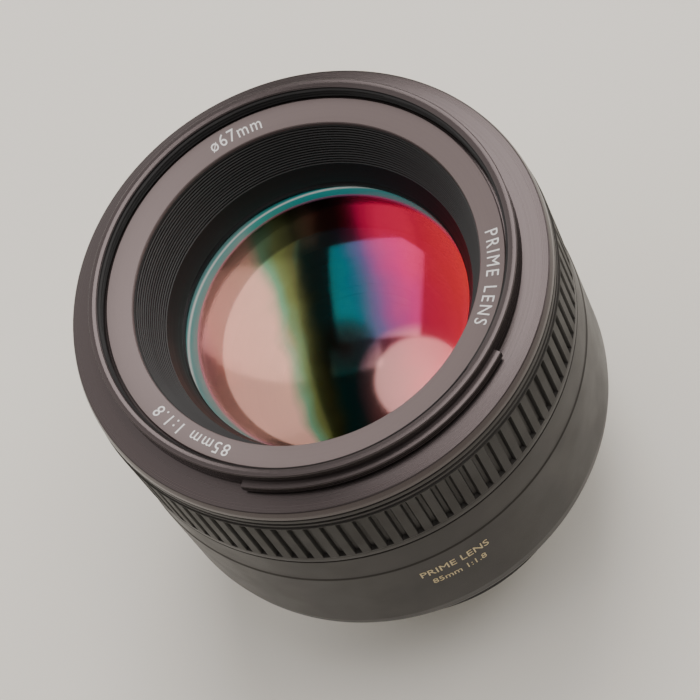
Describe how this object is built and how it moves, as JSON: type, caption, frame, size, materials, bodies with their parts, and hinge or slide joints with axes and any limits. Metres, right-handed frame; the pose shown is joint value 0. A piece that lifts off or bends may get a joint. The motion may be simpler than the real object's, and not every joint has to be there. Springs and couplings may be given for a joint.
{
  "type": "prime camera lens",
  "caption": "Short-telephoto prime lens with a bayonet mount, ribbed focus ring, distance window, rear-focusing glass group and bladed iris.",
  "frame": {"origin": "centre of the camera-mount flange plane, on the optical axis", "axes": "+Z along the optical axis to the subject; +Y to the top of the lens, where the distance window is; +X to the side with the focus-mode switch"},
  "size_m": [0.08, 0.08, 0.0782],
  "materials": {
    "satin_black_shell": "fine moulded satin",
    "front_shell": "fine turned satin",
    "grip_rubber": "ribbed rubber",
    "printed_ring": "satin with white printing",
    "baffle_black": "matt anti-reflection black",
    "coated_glass": "multi-coated optical glass",
    "mount_metal": "chromed brass",
    "steel": "machined steel",
    "brass": "turned brass",
    "anodised_black": "black anodised aluminium",
    "inner_plastic": "glass-filled plastic",
    "gold_contact": "gold-plated contact",
    "window_clear": "clear tinted plastic",
    "scale_print": "matt black with printed scale",
    "blade_black": "blackened steel leaf",
    "white_mark": "gloss white",
    "circuit_green": "lacquered board",
    "gasket_rubber": "soft black rubber"
  },
  "bodies": {
    "barrel": {"bayonet_mount": "mount_metal", "mount_screws": "steel", "mount_gasket": "gasket_rubber", "contact_block": "inner_plastic", "contact_pins": "gold_contact", "rear_baffle": "baffle_black", "rear_barrel": "satin_black_shell", "index_dot": "white_mark", "main_barrel": "satin_black_shell", "scale_window": "window_clear", "switch_plate": "satin_black_shell", "front_barrel": "front_shell", "filter_collar": "front_shell", "name_ring": "printed_ring", "front_baffle": "baffle_black", "front_retaining_ring": "anodised_black", "front_cell": "inner_plastic", "motor_rotor": "anodised_black", "motor_stator": "brass", "motor_spring": "steel", "circuit_board": "circuit_green", "guide_sleeve": "anodised_black", "iris_base": "anodised_black", "iris_cover": "anodised_black", "lens_element_1": "coated_glass", "lens_element_2": "coated_glass", "lens_element_3": "coated_glass", "lens_element_4": "coated_glass"},
    "focus_control": {"focus_ring": "satin_black_shell", "focus_grip": "grip_rubber", "manual_ring": "inner_plastic"},
    "focus_drive": {"drive_ring": "inner_plastic", "distance_scale": "scale_print", "roller_axles": "steel"},
    "focus_group": {"focus_carrier": "anodised_black", "cam_pins": "brass", "rear_retaining_ring": "anodised_black", "lens_element_5": "coated_glass", "lens_element_6": "coated_glass", "lens_element_7": "coated_glass", "lens_element_8": "coated_glass", "lens_element_9": "coated_glass"},
    "iris_control": {"aperture_ring": "brass", "aperture_lever": "steel"},
    "mode_control": {"mode_switch": "satin_black_shell"},
    "roller_body_1": {"roller_1": "steel"},
    "roller_body_2": {"roller_2": "steel"},
    "roller_body_3": {"roller_3": "steel"},
    "blade_body_1": {"iris_blade_1": "blade_black"},
    "blade_body_2": {"iris_blade_2": "blade_black"},
    "blade_body_3": {"iris_blade_3": "blade_black"},
    "blade_body_4": {"iris_blade_4": "blade_black"},
    "blade_body_5": {"iris_blade_5": "blade_black"},
    "blade_body_6": {"iris_blade_6": "blade_black"},
    "blade_body_7": {"iris_blade_7": "blade_black"}
  },
  "joints": [
    {"name": "focus_turn", "type": "hinge", "parent": "barrel", "child": "focus_control", "pos_m": [0, 0, 0.058], "axis": [0, 0, 1], "range_deg": [0, 170]},
    {"name": "drive_turn", "type": "hinge", "parent": "barrel", "child": "focus_drive", "pos_m": [0, 0, 0.03], "axis": [0, 0, 1], "range_deg": [0, 85]},
    {"name": "group_slide", "type": "slide", "parent": "barrel", "child": "focus_group", "axis": [0, 0, 1], "range_m": [0, 0.006]},
    {"name": "iris_turn", "type": "hinge", "parent": "barrel", "child": "iris_control", "pos_m": [0, 0, 0.034], "axis": [0, 0, 1], "range_deg": [0, 15], "stiffness_Nm_per_rad": 0.02, "springref_deg": -28.65},
    {"name": "mode_slide", "type": "slide", "parent": "barrel", "child": "mode_control", "axis": [-0.309, 0.9511, 0], "range_m": [-0.0035, 0]},
    {"name": "roller_spin_1", "type": "hinge", "parent": "focus_drive", "child": "roller_body_1", "pos_m": [0, 0.0333, 0.0501], "axis": [0, 1, 0], "range_deg": [-1490, 0]},
    {"name": "roller_spin_2", "type": "hinge", "parent": "focus_drive", "child": "roller_body_2", "pos_m": [-0.02884, -0.01665, 0.0501], "axis": [-0.866, -0.5, 0], "range_deg": [-1490, 0]},
    {"name": "roller_spin_3", "type": "hinge", "parent": "focus_drive", "child": "roller_body_3", "pos_m": [0.02884, -0.01665, 0.0501], "axis": [0.866, -0.5, 0], "range_deg": [-1490, 0]},
    {"name": "blade_pivot_1", "type": "hinge", "parent": "barrel", "child": "blade_body_1", "pos_m": [-0.02328, 0.00495, 0.0325], "axis": [0, 0, 1], "range_deg": [-33, 0]},
    {"name": "blade_pivot_2", "type": "hinge", "parent": "barrel", "child": "blade_body_2", "pos_m": [-0.01838, -0.01512, 0.0325], "axis": [0, 0, 1], "range_deg": [-33, 0]},
    {"name": "blade_pivot_3", "type": "hinge", "parent": "barrel", "child": "blade_body_3", "pos_m": [0.00036, -0.0238, 0.0325], "axis": [0, 0, 1], "range_deg": [-33, 0]},
    {"name": "blade_pivot_4", "type": "hinge", "parent": "barrel", "child": "blade_body_4", "pos_m": [0.01883, -0.01456, 0.0325], "axis": [0, 0, 1], "range_deg": [-33, 0]},
    {"name": "blade_pivot_5", "type": "hinge", "parent": "barrel", "child": "blade_body_5", "pos_m": [0.02312, 0.00564, 0.0325], "axis": [0, 0, 1], "range_deg": [-33, 0]},
    {"name": "blade_pivot_6", "type": "hinge", "parent": "barrel", "child": "blade_body_6", "pos_m": [0.01, 0.0216, 0.0325], "axis": [0, 0, 1], "range_deg": [-33, 0]},
    {"name": "blade_pivot_7", "type": "hinge", "parent": "barrel", "child": "blade_body_7", "pos_m": [-0.01065, 0.02129, 0.0325], "axis": [0, 0, 1], "range_deg": [-33, 0]}
  ],
  "couplings": [
    {"joint": "drive_turn", "follows": "focus_turn", "ratio": 0.5},
    {"joint": "group_slide", "follows": "focus_turn", "m_per_rad": 0.0020222},
    {"joint": "roller_spin_1", "follows": "focus_turn", "ratio": -8.7632},
    {"joint": "roller_spin_2", "follows": "focus_turn", "ratio": -8.7632},
    {"joint": "roller_spin_3", "follows": "focus_turn", "ratio": -8.7632},
    {"joint": "blade_pivot_1", "follows": "iris_turn", "ratio": -2.2},
    {"joint": "blade_pivot_2", "follows": "iris_turn", "ratio": -2.2},
    {"joint": "blade_pivot_3", "follows": "iris_turn", "ratio": -2.2},
    {"joint": "blade_pivot_4", "follows": "iris_turn", "ratio": -2.2},
    {"joint": "blade_pivot_5", "follows": "iris_turn", "ratio": -2.2},
    {"joint": "blade_pivot_6", "follows": "iris_turn", "ratio": -2.2},
    {"joint": "blade_pivot_7", "follows": "iris_turn", "ratio": -2.2}
  ]
}
